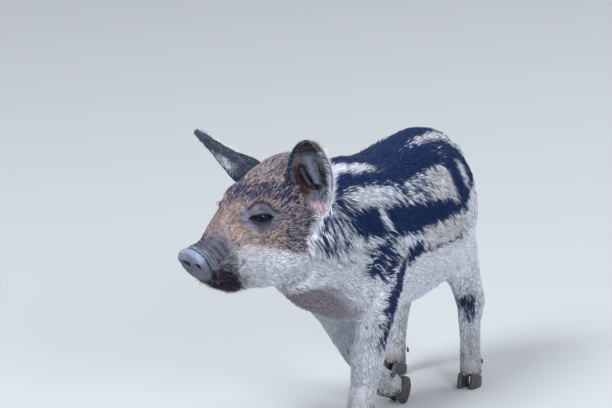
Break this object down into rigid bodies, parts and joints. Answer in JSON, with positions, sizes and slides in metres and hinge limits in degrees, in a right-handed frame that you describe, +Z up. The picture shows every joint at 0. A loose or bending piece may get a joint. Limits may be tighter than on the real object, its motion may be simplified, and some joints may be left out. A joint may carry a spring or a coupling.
{
  "type": "striped piglet",
  "caption": "Striped piglet in mid stride, one foreleg flexed with its toe tips down, head turned aside, bristly coat in dark and pale bands.",
  "frame": {"origin": "on the floor under the middle of the bounding box", "axes": "+Z up, the piglet walks towards -Y, its left side is +X"},
  "size_m": [0.1466, 0.4032, 0.2708],
  "materials": {
    "hoof_horn": "dark hoof horn, dull sheen",
    "dewclaw_horn": "dark dewclaw horn, dull",
    "eye_brown": "wet dark brown eyeball",
    "ear_dark": "thin ear skin with short dark hair",
    "snout_slate": "bare slate-grey snout skin",
    "head_tan": "skin with short grizzled tan hair",
    "neck_grey": "skin with grey hair",
    "trunk_dark": "skin with dark hair, striped pale",
    "tail_grey": "skin with grey hair",
    "leg_pale": "skin with short pale hair"
  },
  "bodies": {
    "root": {"ear_left": "ear_dark", "ear_right": "ear_dark", "eye_left": "eye_brown", "eye_right": "eye_brown", "foreleg_left_dewclaw_left": "dewclaw_horn", "foreleg_left_dewclaw_right": "dewclaw_horn", "foreleg_left_hoof_left": "hoof_horn", "foreleg_left_hoof_right": "hoof_horn", "foreleg_left_lower": "leg_pale", "foreleg_left_upper": "leg_pale", "foreleg_right_dewclaw_left": "dewclaw_horn", "foreleg_right_dewclaw_right": "dewclaw_horn", "foreleg_right_hoof_left": "hoof_horn", "foreleg_right_hoof_right": "hoof_horn", "foreleg_right_lower": "leg_pale", "foreleg_right_upper": "leg_pale", "head": "head_tan", "hindleg_left_dewclaw_left": "dewclaw_horn", "hindleg_left_dewclaw_right": "dewclaw_horn", "hindleg_left_hoof_left": "hoof_horn", "hindleg_left_hoof_right": "hoof_horn", "hindleg_left_lower": "leg_pale", "hindleg_left_upper": "leg_pale", "hindleg_right_dewclaw_left": "dewclaw_horn", "hindleg_right_dewclaw_right": "dewclaw_horn", "hindleg_right_hoof_left": "hoof_horn", "hindleg_right_hoof_right": "hoof_horn", "hindleg_right_lower": "leg_pale", "hindleg_right_upper": "leg_pale", "neck": "neck_grey", "snout": "snout_slate", "tail": "tail_grey", "trunk": "trunk_dark"}
  },
  "joints": []
}
